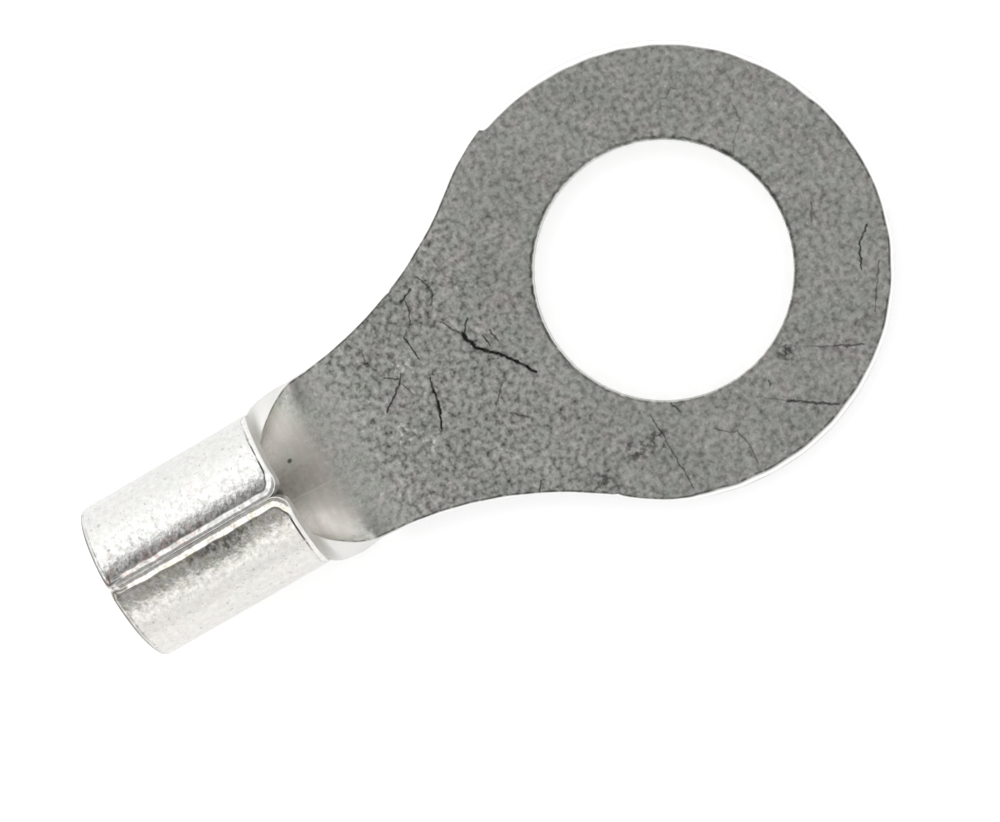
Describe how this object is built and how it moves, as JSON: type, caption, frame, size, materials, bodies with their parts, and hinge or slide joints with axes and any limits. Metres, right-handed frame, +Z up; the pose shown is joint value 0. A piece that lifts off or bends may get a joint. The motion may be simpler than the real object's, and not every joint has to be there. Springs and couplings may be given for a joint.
{
  "type": "ring terminal",
  "caption": "Bare ring terminal in tin-plated copper: a flat ring for a stud on a waisted neck that rolls up into an open wire barrel with a butted seam on top.",
  "frame": {"origin": "centre of the stud hole, on the underside of the tongue", "axes": "+Z up along the stud hole, out of the side that the barrel stands on; +X from the wire barrel to the far end of the ring, so the barrel lies towards -X; the seam is on top"},
  "size_m": [0.0278, 0.015, 0.0055],
  "materials": {
    "tin_plate": "matte tin plate on copper, worn grey on the flat tongue and brighter on the barrel"
  },
  "bodies": {
    "root": {"ring_terminal": "tin_plate"}
  },
  "joints": []
}
